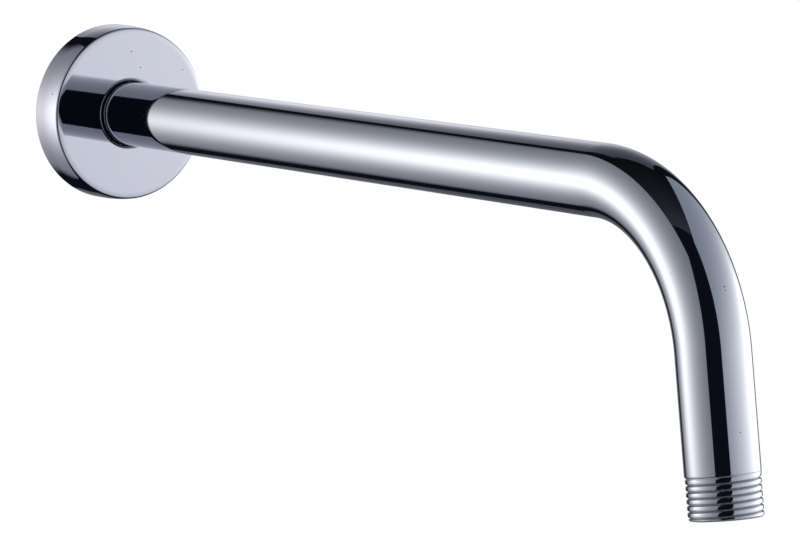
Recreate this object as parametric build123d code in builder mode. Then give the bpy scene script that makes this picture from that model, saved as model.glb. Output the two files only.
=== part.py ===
"""Wall shower arm: a bent tube with a pipe thread at each end, and the round flange that slides on it.

The arm leaves the wall along +X and its outlet leg drops towards -Z. The origin lies on the arm's axis,
at the face of the wall. Lengths are in millimetres and angles in degrees.
"""

import os
from math import cos, isclose, radians, sin, tan

from build123d import *

# Tube: half-inch nominal pipe, drawn to a plain wall and bent once
tube_diameter = 21.3
tube_wall = 2.3
projection = 325.0  # wall to the centre of the outlet's end
drop = 88.0  # arm's axis down to the centre of the outlet's end
bend_angle = 82.0  # how far the outlet leg turns from the arm's axis
bend_radius = 50.0  # at the tube's centreline

# Threaded ends, turned down to the crests of a half-inch parallel pipe thread, 20.955 across
thread_undercut = 0.1725  # from the tube's skin down to the crests
inlet_thread_length = 18.0
outlet_thread_length = 10.9
inlet_stub = 15.0  # how far the inlet end stands behind the wall's face
thread_chamfer = 0.45  # lead-in of both threads
mouth_chamfer = 0.25  # edge of the bore at both ends

# Flange: a shallow round cup, open towards the wall. Buffing has crowned its rim and the edge of its face.
flange_diameter = 58.5
flange_depth = 12.6
flange_face_wall = 1.8
flange_rim_wall = 1.6
rim_crown_radius = 52.0  # slow curve of the rim towards its front edge
rim_crown_angle = 8.0
face_edge_radius = 0.9  # the front edge itself
face_roll_radius = 12.0  # slow curve of the face towards its edge
face_roll_angle = 7.0
flange_slide_clearance = 0.25  # radial, between the flange's bore and the tube
hole_round = 1.3  # front edge of the flange's hole

# Hub behind the flange's face, which guides it on the tube
hub_length = 6.2  # from the face, towards the wall
hub_wall = 4.2

# Seal: a square-cut rubber ring in a groove of the hub, which grips the tube
seal_height = 2.2  # radial
seal_width = 2.2  # along the tube
seal_clearance = 0.05  # radial, to the tube and to the floor of its groove
seal_side_room = 0.2  # on each side of the ring in its groove
seal_depth_from_face = 3.2  # face to the middle of the ring

# Sizes that follow from those above
tube_radius = tube_diameter / 2
bore_radius = tube_radius - tube_wall
thread_radius = tube_radius - thread_undercut
bend_corner = projection - drop / tan(radians(bend_angle))  # where the two legs' axes would meet
flange_radius = flange_diameter / 2
flange_bore_radius = tube_radius + flange_slide_clearance
hub_radius = flange_bore_radius + hub_wall
face_edge_angle = 90 - rim_crown_angle - face_roll_angle
rim_crown_reach = rim_crown_radius * sin(radians(rim_crown_angle))
face_edge_reach = face_edge_radius * (cos(radians(face_roll_angle)) - sin(radians(rim_crown_angle)))
face_roll_reach = face_roll_radius * (1 - cos(radians(face_roll_angle)))
rim_straight = flange_depth - rim_crown_reach - face_edge_reach - face_roll_reach
seal_x = flange_depth - seal_depth_from_face
seal_bore_radius = tube_radius + seal_clearance
groove_radius = seal_bore_radius + seal_height + seal_clearance
groove_width = seal_width + 2 * seal_side_room

# Arm: one tube, swept along its bent axis
with BuildPart() as arm_tube:
    with BuildLine() as arm_axis:
        FilletPolyline(
            (-inlet_stub, 0, 0),
            (bend_corner, 0, 0),
            (projection, 0, -drop),
            radius=bend_radius,
        )
    inlet_end = Plane(origin=arm_axis.line @ 0, z_dir=-(arm_axis.line % 0))
    outlet_end = Plane(origin=arm_axis.line @ 1, z_dir=arm_axis.line % 1)
    with BuildSketch(inlet_end):
        Circle(tube_radius)
        Circle(bore_radius, mode=Mode.SUBTRACT)
    sweep()
    for end, thread_length in ((inlet_end, inlet_thread_length), (outlet_end, outlet_thread_length)):
        with BuildSketch(end):
            Circle(tube_diameter)  # well outside the tube, so that the cut takes all of its skin
            Circle(thread_radius, mode=Mode.SUBTRACT)
        extrude(amount=-thread_length, mode=Mode.SUBTRACT)
        end_face = arm_tube.faces().filter_by(GeomType.PLANE).sort_by_distance(end.origin)[0]
        chamfer(end_face.outer_wire().edges(), thread_chamfer)
        end_face = arm_tube.faces().filter_by(GeomType.PLANE).sort_by_distance(end.origin)[0]
        chamfer(end_face.inner_wires().edges(), mouth_chamfer)
arm_tube.part.label = "arm_tube"

# Flange: a turned cup with a rounded hole in its face and a grooved hub behind it
with BuildPart() as wall_flange:
    face_back = flange_depth - flange_face_wall
    rim_inside = flange_radius - flange_rim_wall
    with BuildSketch(Plane.XZ):
        with BuildLine():
            rim = Line((0, flange_radius), (rim_straight, flange_radius))
            rim_crown = JernArc(rim @ 1, rim % 1, rim_crown_radius, -rim_crown_angle)
            face_edge = JernArc(rim_crown @ 1, rim_crown % 1, face_edge_radius, -face_edge_angle)
            face_roll = JernArc(face_edge @ 1, face_edge % 1, face_roll_radius, -face_roll_angle)
            Polyline(
                face_roll @ 1,
                (flange_depth, flange_bore_radius),
                (flange_depth - hub_length, flange_bore_radius),
                (flange_depth - hub_length, hub_radius),
                (face_back, hub_radius),
                (face_back, rim_inside),
                (0, rim_inside),
                (0, flange_radius),
            )
        make_face()
    revolve(axis=Axis.X)
    hole_rings = wall_flange.edges().filter_by(GeomType.CIRCLE)
    hole_rings = hole_rings.filter_by(lambda ring: isclose(ring.radius, flange_bore_radius))
    fillet(hole_rings.sort_by(Axis.X)[-1], hole_round)
    with BuildSketch(Plane.XZ):
        with Locations((seal_x, groove_radius)):
            Rectangle(groove_width, groove_radius - tube_radius, align=(Align.CENTER, Align.MAX))
    revolve(axis=Axis.X, mode=Mode.SUBTRACT)
wall_flange.part.label = "wall_flange"

# Seal: a plain ring of square section, cut from a rubber sleeve
with BuildPart() as flange_seal:
    with BuildSketch(Plane.XZ):
        with Locations((seal_x, seal_bore_radius)):
            Rectangle(seal_width, seal_height, align=(Align.CENTER, Align.MIN))
    revolve(axis=Axis.X)
flange_seal.part.label = "flange_seal"

os.makedirs("parts", exist_ok=True)
export_step(arm_tube.part, "parts/arm_tube.step")
export_step(wall_flange.part, "parts/wall_flange.step")
export_step(flange_seal.part, "parts/flange_seal.step")
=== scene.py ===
"""Looks of a chromed wall shower arm and its sliding flange, in metres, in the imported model's frame."""
from math import atan2, cos, pi, radians, sin, tan

import bpy
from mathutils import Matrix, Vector


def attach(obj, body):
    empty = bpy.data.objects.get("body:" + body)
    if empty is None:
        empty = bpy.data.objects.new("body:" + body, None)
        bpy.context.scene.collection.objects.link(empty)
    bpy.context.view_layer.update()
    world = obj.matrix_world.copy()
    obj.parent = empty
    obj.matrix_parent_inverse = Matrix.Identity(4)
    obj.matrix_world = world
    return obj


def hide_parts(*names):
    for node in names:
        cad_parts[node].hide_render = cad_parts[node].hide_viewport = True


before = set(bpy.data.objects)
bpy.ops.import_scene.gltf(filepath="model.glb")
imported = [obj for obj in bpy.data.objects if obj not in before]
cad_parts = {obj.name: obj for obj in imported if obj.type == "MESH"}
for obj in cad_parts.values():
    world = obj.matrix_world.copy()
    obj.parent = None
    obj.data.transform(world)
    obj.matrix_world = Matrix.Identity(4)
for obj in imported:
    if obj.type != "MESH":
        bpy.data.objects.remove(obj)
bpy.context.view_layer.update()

# Arm: a half-inch brass pipe with a pipe thread cut on each end, bent once round a former, polished
# and chrome plated. Its short end screws into the wall, and the shower head hangs on its outlet.
mm = 0.001
tube_radius = 10.65 * mm
bore_radius = 8.35 * mm
wall_middle = (tube_radius + bore_radius) / 2
mouth_chamfer = 0.25 * mm
mouth_radius = bore_radius + mouth_chamfer
plating_reach = 3 * mm  # into the bore, from each end
inlet_stub = 15 * mm
projection = 325 * mm
drop = 88 * mm
bend_angle = radians(82)
bend_radius = 50 * mm
tube_sides = 144
run_steps = 10
bend_steps = 96
bore_bend_steps = 48
leg_steps = 3
closing_gap = 0.02 * mm  # the drawn surface comes back to its first ring within this
smooth_below = radians(35)  # edges that turn less than this are shaded smooth

run_axis = Vector((1, 0, 0))
outlet_axis = Vector((cos(bend_angle), 0, -sin(bend_angle)))
bend_reach = bend_radius * tan(bend_angle / 2)
bend_corner = Vector((projection - drop / tan(bend_angle), 0, 0))
inlet_end = Vector((-inlet_stub, 0, 0))
bend_start = bend_corner - run_axis * bend_reach
bend_end = bend_corner + outlet_axis * bend_reach
outlet_end = Vector((projection, 0, -drop))
run = bend_start.x + inlet_stub
leg = (outlet_end - bend_end).length

thread_radius = 10.4775 * mm  # at the crests
thread_pitch = 1.814 * mm
thread_depth = 0.68 * mm
crest_rounding = 0.08 * mm
crest_power = 4  # the higher, the flatter the top of a crest
rows_per_turn = 16
groove_rows = 3  # from the middle of the groove to its edge
thread_row = thread_pitch / rows_per_turn
groove_part = groove_rows / rows_per_turn
crest_middle = 0.5  # from the middle of the groove, as a part of the pitch
run_out = 1.8 * mm
lead_in = 0.45 * mm
dull_flank = 0.375  # how far down a flank, as a part of its depth, the plating starts to dull
dull_run_out = 0.25  # last part of the run-out, over which the dull floor dies away
inlet_thread = 18 * mm
outlet_thread = 10.9 * mm
inlet_rows = 175
outlet_rows = 112


def start_ring(name, sides, radius, x):
    """A ring of edges round the arm's axis, left selected in edit mode."""
    bpy.ops.object.select_all(action="DESELECT")
    bpy.ops.mesh.primitive_circle_add(
        vertices=sides, radius=radius, location=(x, 0, 0), rotation=(0, pi / 2, 0)
    )
    piece = bpy.context.object
    piece.name = name
    piece.data.name = name
    bpy.ops.object.transform_apply(location=True, rotation=True, scale=True)
    bpy.ops.object.mode_set(mode="EDIT")
    bpy.ops.mesh.select_all(action="SELECT")
    return piece


def draw_out(way, steps=1):
    """Draws the selected ring out along a straight way."""
    for step in range(steps):
        bpy.ops.mesh.extrude_region_move(TRANSFORM_OT_translate={"value": way / steps})


def draw_to_size(way, ratio, centre):
    """Draws the selected ring out along a way and changes its size about the centre it comes to."""
    draw_out(way)
    bpy.ops.transform.resize(value=(ratio, ratio, ratio), center_override=centre)


def draw_round_bend(angle, steps):
    """Carries the selected ring round the arm's bend, backwards if the angle is negative."""
    bend_centre = bend_start - Vector((0, 0, bend_radius))
    bpy.ops.mesh.spin(steps=steps, angle=angle, center=bend_centre, axis=(0, -1, 0))


def soft_step(value):
    """0 below 0 and 1 above 1, with a smooth rise between."""
    value = min(1, max(0, value))
    return value * value * (3 - 2 * value)


def cut_thread(piece, end, outward, length):
    """Cuts a right-hand thread into the skin of one end, and the lead-in at its mouth. The attribute
    dull is 1 at the bottom of the groove and on the lead-in, where the plating is thin."""
    across = Vector((0, 1, 0))
    upward = outward.cross(across)
    dull = piece.data.attributes["dull"].data
    for point in piece.data.vertices:
        from_end = point.co - end
        back = -from_end.dot(outward)
        if back > length + run_out:
            continue
        spoke = from_end + outward * back
        if spoke.length < wall_middle:
            continue
        turn = atan2(spoke.dot(upward), spoke.dot(across)) / (2 * pi)
        # the point slides along the arm to the nearest row of the helix, so that edges follow the groove
        rows = back / thread_row + turn * rows_per_turn
        slide = (round(rows) - rows) * soft_step(back / lead_in)
        back += slide * thread_row
        # the part of a pitch between the point and the middle of the nearest groove
        offset = (rows + slide) / rows_per_turn % 1
        offset = min(offset, 1 - offset)
        flank = max(0, 1 - offset / groove_part)
        shoulder = (crest_middle - max(offset, groove_part)) / (crest_middle - groove_part)
        depth = crest_rounding * shoulder ** crest_power + (thread_depth - crest_rounding) * flank
        past_thread = soft_step((back - length) / run_out)
        depth *= 1 - past_thread
        skin = thread_radius + (tube_radius - thread_radius) * past_thread
        mouth = thread_radius - lead_in + max(0, back)
        groove_floor = soft_step((flank - dull_flank) / (1 - dull_flank))
        groove_floor *= soft_step((1 - past_thread) / dull_run_out)
        dull[point.index].value = 1 if mouth < skin - depth else groove_floor
        point.co = end - outward * back + spoke.normalized() * min(skin - depth, mouth)


# the skin, from the inlet's end round the bend to the outlet's
arm = start_ring("arm", tube_sides, tube_radius, -inlet_stub)
draw_out(run_axis * thread_row * inlet_rows, inlet_rows)
draw_out(run_axis * (run - thread_row * inlet_rows), run_steps)
draw_round_bend(bend_angle, bend_steps)
draw_out(outlet_axis * (leg - thread_row * outlet_rows), leg_steps)
draw_out(outlet_axis * thread_row * outlet_rows, outlet_rows)
bpy.ops.object.mode_set(mode="OBJECT")
skin_points = len(arm.data.vertices)
bpy.ops.object.mode_set(mode="EDIT")

# over the outlet's end into the bore, back along it, and over the inlet's end to the first ring
stay = Vector((0, 0, 0))
draw_to_size(stay, mouth_radius / tube_radius, outlet_end)
draw_to_size(
    -outlet_axis * mouth_chamfer, bore_radius / mouth_radius, outlet_end - outlet_axis * mouth_chamfer
)
draw_out(-outlet_axis * plating_reach)
draw_out(-outlet_axis * (leg - mouth_chamfer - plating_reach), leg_steps)
draw_round_bend(-bend_angle, bore_bend_steps)
draw_out(-run_axis * (run - mouth_chamfer - plating_reach), run_steps)
draw_out(-run_axis * plating_reach)
draw_to_size(-run_axis * mouth_chamfer, mouth_radius / bore_radius, inlet_end)
draw_to_size(stay, tube_radius / mouth_radius, inlet_end)
bpy.ops.object.mode_set(mode="OBJECT")

# bare is 1 on the brass of the bore, where the plating does not reach
arm.data.attributes.new("dull", "FLOAT", "POINT")
arm.data.attributes.new("bare", "FLOAT", "POINT")
bare = arm.data.attributes["bare"].data
for point in arm.data.vertices[skin_points:]:
    inside = min((point.co - inlet_end).dot(run_axis), (outlet_end - point.co).dot(outlet_axis))
    bare[point.index].value = 1 if inside > plating_reach else 0
cut_thread(arm, inlet_end, -run_axis, inlet_thread)
cut_thread(arm, outlet_end, outlet_axis, outlet_thread)
bpy.ops.object.mode_set(mode="EDIT")
bpy.ops.mesh.select_all(action="SELECT")
bpy.ops.mesh.remove_doubles(threshold=closing_gap)
bpy.ops.mesh.normals_make_consistent(inside=False)
bpy.ops.mesh.quads_convert_to_tris(quad_method="SHORTEST_DIAGONAL")
bpy.ops.object.mode_set(mode="OBJECT")
bpy.ops.object.shade_smooth_by_angle(angle=smooth_below)

# plating: bright, with a faint haze and ripple from the buffing under it, and a few pits
haze_scale = 70
haze_detail = 4
haze_span = (0.35, 0.7)  # of the noise, spread over the plating's roughness
plating_roughness = (0.025, 0.05)
ripple_scale = 45
ripple_detail = 1
ripple_strength = 0.02
ripple_height = 0.4 * mm
pit_core = 0.45  # part of a pit's radius that is dark all over
pit_colour = (0.09, 0.085, 0.08, 1)
pit_roughness = 0.5


def feed(tree, socket, value):
    """Gives a node's socket a value of its own, or links it to the output that the value is."""
    if isinstance(value, bpy.types.NodeSocket):
        tree.links.new(value, socket)
    else:
        socket.default_value = value


def calculate(tree, operation, *values):
    """The result of a Math node."""
    step = tree.nodes.new("ShaderNodeMath")
    step.operation = operation
    for socket, value in zip(step.inputs, values):
        feed(tree, socket, value)
    return step.outputs[0]


def calculate_vector(tree, operation, *values):
    """The outputs of a Vector Math node: Vector, or Value for a distance, length or dot product."""
    step = tree.nodes.new("ShaderNodeVectorMath")
    step.operation = operation
    for socket, value in zip(step.inputs, values):
        feed(tree, socket, value)
    return step.outputs


def ramp(tree, value, low, high, at_low, at_high, smooth=False):
    """A result that goes from at_low to at_high while the value goes from low to high."""
    span = tree.nodes.new("ShaderNodeMapRange")
    if smooth:
        span.interpolation_type = "SMOOTHSTEP"
    feed(tree, span.inputs["Value"], value)
    feed(tree, span.inputs["From Min"], low)
    feed(tree, span.inputs["From Max"], high)
    feed(tree, span.inputs["To Min"], at_low)
    feed(tree, span.inputs["To Max"], at_high)
    return span.outputs["Result"]


def noise(tree, surface, scale, detail):
    """Cloudy noise over a surface."""
    cloud = tree.nodes.new("ShaderNodeTexNoise")
    feed(tree, cloud.inputs["Vector"], surface)
    feed(tree, cloud.inputs["Scale"], scale)
    feed(tree, cloud.inputs["Detail"], detail)
    return cloud.outputs["Fac"]


def mixed_colour(tree, share, first, second):
    """The first colour where the share is 0, the second where it is 1, and their mix between."""
    mix = tree.nodes.new("ShaderNodeMix")
    mix.data_type = "RGBA"
    feed(tree, mix.inputs["Factor"], share)
    feed(tree, mix.inputs["A"], first)
    feed(tree, mix.inputs["B"], second)
    return mix.outputs["Result"]


def relief(tree, height, strength, distance):
    """The surface's normal, tilted as a slight relief of that height tilts it."""
    bump = tree.nodes.new("ShaderNodeBump")
    feed(tree, bump.inputs["Height"], height)
    feed(tree, bump.inputs["Strength"], strength)
    feed(tree, bump.inputs["Distance"], distance)
    return bump.outputs["Normal"]


def pit_group():
    """A node group that marks one small flaw in the plating."""
    group = bpy.data.node_groups.new("plating_pit", "ShaderNodeTree")
    group.interface.new_socket("Surface", in_out="INPUT", socket_type="NodeSocketVector")
    group.interface.new_socket("Place", in_out="INPUT", socket_type="NodeSocketVector")
    group.interface.new_socket("Radius", in_out="INPUT", socket_type="NodeSocketFloat")
    group.interface.new_socket("Mask", in_out="OUTPUT", socket_type="NodeSocketFloat")
    entry = group.nodes.new("NodeGroupInput").outputs
    leave = group.nodes.new("NodeGroupOutput").inputs
    reach = calculate_vector(group, "DISTANCE", entry["Surface"], entry["Place"])["Value"]
    core = calculate(group, "MULTIPLY", entry["Radius"], pit_core)
    feed(group, leave["Mask"], ramp(group, reach, core, entry["Radius"], 1, 0, smooth=True))
    return group


def polish_group():
    """A node group for the faint unevenness that buffing leaves under bright plating."""
    group = bpy.data.node_groups.new("buffed_surface", "ShaderNodeTree")
    group.interface.new_socket("Surface", in_out="INPUT", socket_type="NodeSocketVector")
    group.interface.new_socket("Roughness", in_out="OUTPUT", socket_type="NodeSocketFloat")
    group.interface.new_socket("Height", in_out="OUTPUT", socket_type="NodeSocketFloat")
    entry = group.nodes.new("NodeGroupInput").outputs
    leave = group.nodes.new("NodeGroupOutput").inputs
    haze = noise(group, entry["Surface"], haze_scale, haze_detail)
    feed(group, leave["Roughness"], ramp(group, haze, *haze_span, *plating_roughness))
    feed(group, leave["Height"], noise(group, entry["Surface"], ripple_scale, ripple_detail))
    return group


plating_pit = pit_group()
buffed_surface = polish_group()


def polished_chrome(name, tint, pits):
    """Bright chrome plating. Each pit in it is a place on the piece and a radius."""
    chrome = bpy.data.materials.new(name)
    chrome.use_nodes = True
    tree = chrome.node_tree
    shader = tree.nodes["Principled BSDF"]
    shader.inputs["Metallic"].default_value = 1
    surface = tree.nodes.new("ShaderNodeTexCoord").outputs["Object"]
    polish = tree.nodes.new("ShaderNodeGroup")
    polish.node_tree = buffed_surface
    feed(tree, polish.inputs["Surface"], surface)
    flaws = 0
    for place, radius in pits:
        pit = tree.nodes.new("ShaderNodeGroup")
        pit.node_tree = plating_pit
        feed(tree, pit.inputs["Surface"], surface)
        feed(tree, pit.inputs["Place"], place)
        feed(tree, pit.inputs["Radius"], radius)
        flaws = calculate(tree, "MAXIMUM", flaws, pit.outputs["Mask"])
    roughness = calculate(tree, "MULTIPLY_ADD", flaws, pit_roughness, polish.outputs["Roughness"])
    ripple = relief(tree, polish.outputs["Height"], ripple_strength, ripple_height)
    feed(tree, shader.inputs["Base Color"], mixed_colour(tree, flaws, tint, pit_colour))
    feed(tree, shader.inputs["Roughness"], roughness)
    feed(tree, shader.inputs["Normal"], ripple)
    return chrome


def carried_value(tree, name):
    """A value that the mesh carries at each of its points."""
    attribute = tree.nodes.new("ShaderNodeAttribute")
    attribute.attribute_name = name
    return attribute.outputs["Fac"]


arm_tint = (0.57, 0.578, 0.6, 1)
# two pits at the lower end of the bend, and one on the outlet leg
arm_pits = [
    (Vector((323.98, -0.69, -24.08)) * mm, 0.3 * mm),
    (Vector((324.46, -0.72, -25.12)) * mm, 0.24 * mm),
    (Vector((332.17, -1.33, -63.05)) * mm, 0.26 * mm),
]
brass_colour = (0.52, 0.36, 0.14, 1)
unplated_roughness = 0.42  # added where the plating is thin or missing
unplated_dulling = 0.3  # taken off the metal's share of the look there

# the plating is thin in the threads' grooves, and does not reach far into the bore
arm_chrome = polished_chrome("arm_chrome", arm_tint, arm_pits)
tree = arm_chrome.node_tree
shader = tree.nodes["Principled BSDF"]
plated_colour = shader.inputs["Base Color"].links[0].from_socket
plated_roughness = shader.inputs["Roughness"].links[0].from_socket
thin_plating = carried_value(tree, "dull")
no_plating = carried_value(tree, "bare")
unplated = calculate(tree, "MAXIMUM", thin_plating, no_plating)
roughness = calculate(tree, "MULTIPLY_ADD", unplated, unplated_roughness, plated_roughness)
metal = calculate(tree, "MULTIPLY_ADD", unplated, -unplated_dulling, 1)
feed(tree, shader.inputs["Base Color"], mixed_colour(tree, no_plating, plated_colour, brass_colour))
feed(tree, shader.inputs["Roughness"], roughness)
feed(tree, shader.inputs["Metallic"], metal)
arm.data.materials.append(arm_chrome)
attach(arm, "arm")
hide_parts("arm_tube")

# Seal: a square-cut ring of black nitrile rubber. It lies in a groove of the flange's hub and grips
# the tube, so that the flange stays where it is pushed.
rubber_colour = (0.022, 0.022, 0.023, 1)
talc_colour = (0.05, 0.05, 0.049, 1)
talc_scale = 900
talc_detail = 5
rubber_roughness = (0.45, 0.75)
rubber_specular = 0.4
grain_strength = 0.2
grain_height = 0.05 * mm
rubber = bpy.data.materials.new("nitrile_rubber")
rubber.use_nodes = True
tree = rubber.node_tree
shader = tree.nodes["Principled BSDF"]
shader.inputs["Specular IOR Level"].default_value = rubber_specular
surface = tree.nodes.new("ShaderNodeTexCoord").outputs["Object"]
talc = noise(tree, surface, talc_scale, talc_detail)
feed(tree, shader.inputs["Base Color"], mixed_colour(tree, talc, rubber_colour, talc_colour))
feed(tree, shader.inputs["Roughness"], ramp(tree, talc, 0, 1, *rubber_roughness))
feed(tree, shader.inputs["Normal"], relief(tree, talc, grain_strength, grain_height))
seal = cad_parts["flange_seal"]
seal.data.materials.clear()
seal.data.materials.append(rubber)

# Flange: a shallow brass cup turned from bar, with a rounded edge to its hole and a grooved hub behind
# its face. Buffing before the plating crowned its rim and rolled the edge of its face. It is pushed
# along the arm until its rim meets the wall.
flange_sides = 256
flange_radius = 29.25 * mm
flange_depth = 12.6 * mm
rim_wall = 1.6 * mm
face_wall = 1.8 * mm
rim_crown_radius = 52 * mm
rim_crown_angle = radians(8)
face_edge_radius = 0.9 * mm
face_roll_radius = 12 * mm
face_roll_angle = radians(7)
flange_bore = 10.9 * mm
hub_radius = 15.1 * mm
hub_length = 6.2 * mm
groove_radius = 12.95 * mm
groove_front = 10.7 * mm
groove_back = 8.1 * mm
hole_round = 1.3 * mm
hole_segments = 12
rim_back_edge = 0.15 * mm
rim_back_segments = 2
arc_rings = 14
edge_support = 0.2 * mm
same_ring = 0.001 * mm  # rings closer than this are one
same_place = 0.01 * mm  # a point this near to a ring lies on it
rim_inside = flange_radius - rim_wall
face_back = flange_depth - face_wall
hub_back = flange_depth - hub_length


def turn_on_lathe(name, sides, rings):
    """Turns a closed section round the arm's axis. Each ring is a place along it and a radius."""
    x, radius = rings[0]
    piece = start_ring(name, sides, radius, x)
    for next_x, next_radius in rings[1:] + rings[:1]:
        draw_to_size(run_axis * (next_x - x), next_radius / radius, (next_x, 0, 0))
        x = next_x
        radius = next_radius
    bpy.ops.mesh.select_all(action="SELECT")
    bpy.ops.mesh.remove_doubles(threshold=same_ring)
    bpy.ops.mesh.normals_make_consistent(inside=False)
    return piece


def select_edges(piece, wanted):
    """Selects the edges whose both ends pass a test of their place, and nothing else."""
    bpy.ops.mesh.select_mode(type="EDGE")
    bpy.ops.mesh.select_all(action="DESELECT")
    bpy.ops.object.mode_set(mode="OBJECT")
    points = piece.data.vertices
    for edge in piece.data.edges:
        edge.select = all(wanted(points[index].co) for index in edge.vertices)
    bpy.ops.object.mode_set(mode="EDIT")


def round_ring(piece, x, radius, size, segments):
    """Rounds the edge that runs round the piece at that place and radius."""
    def on_ring(place):
        return abs(place.x - x) < same_place and abs(place.yz.length - radius) < same_place
    select_edges(piece, on_ring)
    bpy.ops.mesh.bevel(offset=size, offset_type="OFFSET", segments=segments, profile=0.5, affect="EDGES")


def curved_rings(centre, radius, first, last):
    """Rings along an arc of the section, whose turn goes from 0 on the rim to 90 degrees on the face."""
    turns = [first + (last - first) * step / arc_rings for step in range(arc_rings + 1)]
    return [(centre.x + radius * sin(turn), centre.y + radius * cos(turn)) for turn in turns]


def towards_edge(turn):
    """The way from an arc's centre to the place on the arc at that turn."""
    return Vector((sin(turn), cos(turn)))


# the three arcs between the rim's straight part and the face's flat part touch each other smoothly
roll_start = pi / 2 - face_roll_angle
rim_straight = (
    flange_depth
    - rim_crown_radius * sin(rim_crown_angle)
    - face_edge_radius * (sin(roll_start) - sin(rim_crown_angle))
    - face_roll_radius * (1 - sin(roll_start))
)
crown_centre = Vector((rim_straight, flange_radius - rim_crown_radius))
edge_centre = crown_centre + towards_edge(rim_crown_angle) * (rim_crown_radius - face_edge_radius)
roll_centre = edge_centre + towards_edge(roll_start) * (face_edge_radius - face_roll_radius)
rim_and_edge = (
    curved_rings(crown_centre, rim_crown_radius, 0, rim_crown_angle)
    + curved_rings(edge_centre, face_edge_radius, rim_crown_angle, roll_start)[1:]
    + curved_rings(roll_centre, face_roll_radius, roll_start, pi / 2)[1:]
)
flange = turn_on_lathe("flange", flange_sides, [
    (0, rim_inside),
    (0, flange_radius),
    (rim_back_edge + edge_support, flange_radius),
    (rim_straight - edge_support, flange_radius),
    *rim_and_edge,
    (flange_depth, roll_centre.y - edge_support),
    (flange_depth, flange_bore + hole_round + edge_support),
    (flange_depth, flange_bore),
    (groove_front, flange_bore),
    (groove_front, groove_radius),
    (groove_back, groove_radius),
    (groove_back, flange_bore),
    (hub_back, flange_bore),
    (hub_back, hub_radius),
    (face_back, hub_radius),
    (face_back, rim_inside),
])
round_ring(flange, flange_depth, flange_bore, hole_round, hole_segments)
round_ring(flange, 0, flange_radius, rim_back_edge, rim_back_segments)
bpy.ops.object.mode_set(mode="OBJECT")
bpy.ops.object.select_all(action="DESELECT")
flange.select_set(True)
bpy.ops.object.shade_smooth_by_angle(angle=smooth_below)

flange_tint = (0.535, 0.532, 0.575, 1)
# three pits in the face, and one in the rim
flange_pits = [
    (Vector((12.6, 0.5, 20.78)) * mm, 0.3 * mm),
    (Vector((12.6, 3.96, 15.27)) * mm, 0.3 * mm),
    (Vector((12.6, 20.48, 13.85)) * mm, 0.28 * mm),
    (Vector((9.05, -28.01, 7.65)) * mm, 0.36 * mm),
]
flange.data.materials.append(polished_chrome("flange_chrome", flange_tint, flange_pits))
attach(flange, "flange")
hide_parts("wall_flange")

# Floor: a round of plain pale card under the arm. It keeps the arm's shadow, and fades out into the
# white of the room towards its edge.
floor_middle = (0.16, 0, -0.3)
floor_radius = 0.8
floor_sides = 96
floor_fade = (0.2, 0.75)  # from its middle
card_colour = (0.82, 0.82, 0.82, 1)
card_roughness = 0.9
card_specular = 0.1
white = (1, 1, 1, 1)


def seen_directly(tree):
    """Light Path's answer for rays from the camera, and for what metal or glass shows of them."""
    rays = tree.nodes.new("ShaderNodeLightPath").outputs
    metal = calculate(tree, "MAXIMUM", rays["Is Camera Ray"], rays["Is Glossy Ray"])
    return calculate(tree, "MAXIMUM", metal, rays["Is Transmission Ray"])


def glow(tree, tint, level):
    """Light that a surface gives off."""
    emission = tree.nodes.new("ShaderNodeEmission")
    feed(tree, emission.inputs["Color"], tint)
    feed(tree, emission.inputs["Strength"], level)
    return emission.outputs[0]


def mixed_shader(tree, share, first, second):
    """The first shader where the share is 0, the second where it is 1, and their mix between."""
    mix = tree.nodes.new("ShaderNodeMixShader")
    for socket, value in zip(mix.inputs, (share, first, second)):
        feed(tree, socket, value)
    return mix.outputs[0]


bpy.ops.object.select_all(action="DESELECT")
bpy.ops.mesh.primitive_circle_add(
    vertices=floor_sides, radius=floor_radius, fill_type="NGON", location=floor_middle
)
floor = bpy.context.object
floor.name = "floor"
card = bpy.data.materials.new("floor_card")
card.use_nodes = True
tree = card.node_tree
shader = tree.nodes["Principled BSDF"]
shader.inputs["Base Color"].default_value = card_colour
shader.inputs["Roughness"].default_value = card_roughness
shader.inputs["Specular IOR Level"].default_value = card_specular
surface = tree.nodes.new("ShaderNodeTexCoord").outputs["Object"]
from_middle = calculate_vector(tree, "LENGTH", surface)["Value"]
faded = ramp(tree, from_middle, *floor_fade, 0, 1, smooth=True)
shown_white = calculate(tree, "MULTIPLY", faded, seen_directly(tree))
fading_card = mixed_shader(tree, shown_white, shader.outputs[0], glow(tree, white, 1))
feed(tree, tree.nodes["Material Output"].inputs["Surface"], fading_card)
floor.data.materials.append(card)
floor.visible_glossy = False

# Room: plain white where the camera looks past the arm, an even soft light from all round, and a broad
# lamp overhead that gives the arm its shadow.
soft_level = 0.6
lamp_size = 0.9
lamp_watts = 9
lamp_place = (0.2, -0.1, 1.3)
room = bpy.data.worlds.new("room")
room.use_nodes = True
bpy.context.scene.world = room
tree = room.node_tree
soft_light = tree.nodes["Background"]
soft_light.inputs["Color"].default_value = white
soft_light.inputs["Strength"].default_value = soft_level
white_room = tree.nodes.new("ShaderNodeBackground")
white_room.inputs["Color"].default_value = white
white_room.inputs["Strength"].default_value = 1
shown_room = mixed_shader(tree, seen_directly(tree), soft_light.outputs[0], white_room.outputs[0])
feed(tree, tree.nodes["World Output"].inputs["Surface"], shown_room)

lamp_data = bpy.data.lights.new("overhead_lamp", "AREA")
lamp_data.shape = "DISK"
lamp_data.size = lamp_size
lamp_data.energy = lamp_watts
overhead_lamp = bpy.data.objects.new("overhead_lamp", lamp_data)
overhead_lamp.location = lamp_place
overhead_lamp.visible_glossy = False
bpy.context.scene.collection.objects.link(overhead_lamp)

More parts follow.
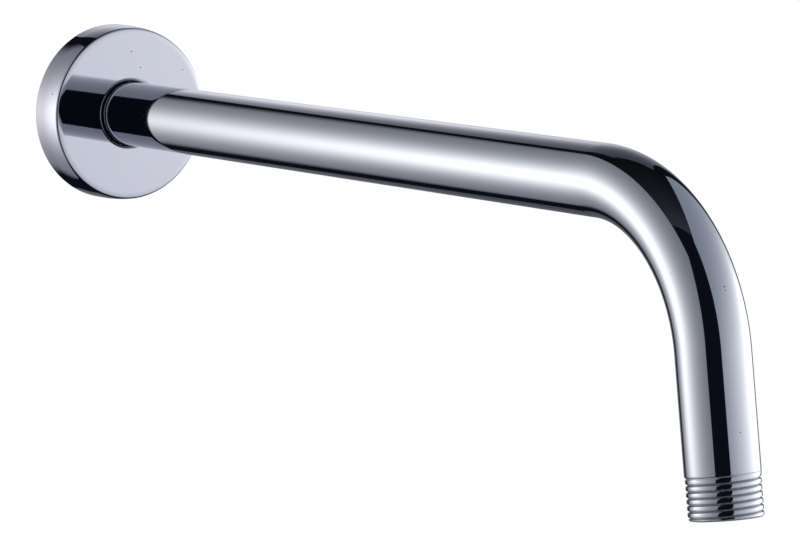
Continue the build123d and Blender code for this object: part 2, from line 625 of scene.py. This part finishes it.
# Tent: what the chrome shows. Two tall lit cloths stand left and right of the camera, with a dark gap
# between them, and a third behind the arm, under a dim ceiling in a dark room. Only metal sees them:
# they light nothing.
tent_middle = Vector((0.3, 0, 0))
shade = (0.925, 1, 1.22, 1)
deep_shade = (0.89, 1, 1.28, 1)
cool_light = (0.96, 0.965, 1.07, 1)
lamp_falloff = 1.3


def hide_from_all_but_metal(screen):
    """Leaves a screen to the reflections in metal: hidden from the camera, from diffuse, transmission and
    volume rays, and from shadows.
    """
    screen.visible_camera = False
    screen.visible_diffuse = False
    screen.visible_transmission = False
    screen.visible_volume_scatter = False
    screen.visible_shadow = False


def lit_cloth(name, tint, level, hot_tint, hot_level, hot_place, hot_size, fade=None):
    """An even low level of light, and a soft bright place where the lamp stands behind the cloth. With
    a fade, the even light rises from nothing between two places across the cloth."""
    cloth = bpy.data.materials.new(name)
    cloth.use_nodes = True
    tree = cloth.node_tree
    tree.nodes.remove(tree.nodes["Principled BSDF"])
    surface = tree.nodes.new("ShaderNodeTexCoord").outputs["Object"]
    if fade:
        across = tree.nodes.new("ShaderNodeSeparateXYZ")
        feed(tree, across.inputs[0], surface)
        level = ramp(tree, across.outputs["X"], *fade, 0, level, smooth=True)
    centred = calculate_vector(tree, "SUBTRACT", surface, hot_place)["Vector"]
    spread = calculate_vector(tree, "DIVIDE", centred, hot_size)["Vector"]
    squared = calculate_vector(tree, "DOT_PRODUCT", spread, spread)["Value"]
    one_more = calculate(tree, "ADD", squared, 1)
    falling = calculate(tree, "POWER", one_more, -lamp_falloff)
    hot = calculate(tree, "MULTIPLY", falling, hot_level)
    both = tree.nodes.new("ShaderNodeAddShader")
    feed(tree, both.inputs[0], glow(tree, tint, level))
    feed(tree, both.inputs[1], glow(tree, hot_tint, hot))
    feed(tree, tree.nodes["Material Output"].inputs["Surface"], both.outputs[0])
    return cloth


def hang_cloth(name, cloth, bearing, distance, left, right, lean, bottom, top):
    """An upright cloth, seen from the arm's bend at a bearing and a distance. Places on it are counted
    from the point nearest the bend, and its right edge leans out by lean for each metre of height."""
    towards = Vector((sin(radians(bearing)), -cos(radians(bearing)), 0))
    bpy.ops.object.select_all(action="DESELECT")
    bpy.ops.mesh.primitive_plane_add(
        size=2, location=tent_middle + towards * distance, rotation=(pi / 2, 0, radians(bearing))
    )
    screen = bpy.context.object
    screen.name = name
    for corner in screen.data.vertices:
        height = top if corner.co.y > 0 else bottom
        corner.co.x = right + lean * max(height, 0) if corner.co.x > 0 else left
        corner.co.y = height
    screen.data.materials.append(cloth)
    hide_from_all_but_metal(screen)


left_light = lit_cloth(
    "left_light",
    tint=shade,
    level=0.242,
    hot_tint=white,
    hot_level=1.84,
    hot_place=(-0.45, -0.043, 0),
    hot_size=(0.543, 0.44, 1),
    fade=(-2.55, -1.5),
)
hang_cloth(
    "cloth_left", left_light,
    bearing=-25, distance=1.05, left=-2.6, right=1.4, lean=0.09, bottom=-1.78, top=1.76,
)
right_light = lit_cloth(
    "right_light",
    tint=deep_shade,
    level=0.32,
    hot_tint=white,
    hot_level=2.72,
    hot_place=(1.004, -0.03, 0),
    hot_size=(0.878, 0.362, 1),
)
hang_cloth(
    "cloth_right", right_light,
    bearing=135.6, distance=0.9, left=-1.58, right=2.8, lean=0.1, bottom=-1.28, top=3.17,
)
back_light = lit_cloth(
    "back_light",
    tint=deep_shade,
    level=0.06,
    hot_tint=cool_light,
    hot_level=0.95,
    hot_place=(0.056, 0.166, 0),
    hot_size=(0.22, 0.186, 1),
)
hang_cloth(
    "cloth_back", back_light,
    bearing=-120, distance=0.74, left=-0.294, right=0.212, lean=0.16, bottom=-0.516, top=1.085,
)

ceiling_height = 3.2
ceiling_bearing = radians(64)
ceiling_front = 1.45
ceiling_back = 2.2
ceiling_side = 2.7
bpy.ops.object.select_all(action="DESELECT")
bpy.ops.mesh.primitive_plane_add(
    size=2, location=tent_middle + Vector((0, 0, ceiling_height)), rotation=(0, 0, ceiling_bearing)
)
ceiling = bpy.context.object
ceiling.name = "dim_ceiling"
for corner in ceiling.data.vertices:
    corner.co.x *= ceiling_side
    corner.co.y = -ceiling_front if corner.co.y < 0 else ceiling_back
ceiling_light = lit_cloth(
    "ceiling_light",
    tint=deep_shade,
    level=0.003,
    hot_tint=deep_shade,
    hot_level=0.048,
    hot_place=(0, -1.9, 0),
    hot_size=(4, 1.5, 1),
)
ceiling.data.materials.append(ceiling_light)
hide_from_all_but_metal(ceiling)

dark_room_radius = 6
dark_room_tint = (0.75, 1, 1.9, 1)
dark_room_level = 0.0069
bpy.ops.object.select_all(action="DESELECT")
bpy.ops.mesh.primitive_uv_sphere_add(
    segments=48, ring_count=24, radius=dark_room_radius, location=tent_middle
)
dark_room = bpy.context.object
dark_room.name = "dark_room"
dark = bpy.data.materials.new("dark_room_cloth")
dark.use_nodes = True
tree = dark.node_tree
tree.nodes.remove(tree.nodes["Principled BSDF"])
faint = glow(tree, dark_room_tint, dark_room_level)
feed(tree, tree.nodes["Material Output"].inputs["Surface"], faint)
dark_room.data.materials.append(dark)
hide_from_all_but_metal(dark_room)

# Camera: stands to the right of the arm, a little above it, with a long lens.
camera_place = (1.1439, -0.6832, 0.1188)
camera_bearing = radians(54.962)
camera_dip = radians(7.473)
camera_data = bpy.data.cameras.new("camera")
camera_data.sensor_width = 36
camera_data.lens = 177.8
camera = bpy.data.objects.new("camera", camera_data)
camera.location = camera_place
camera.rotation_euler = (pi / 2 - camera_dip, 0, camera_bearing)
bpy.context.scene.collection.objects.link(camera)
bpy.context.scene.camera = camera
bpy.context.scene.view_settings.view_transform = "Standard"
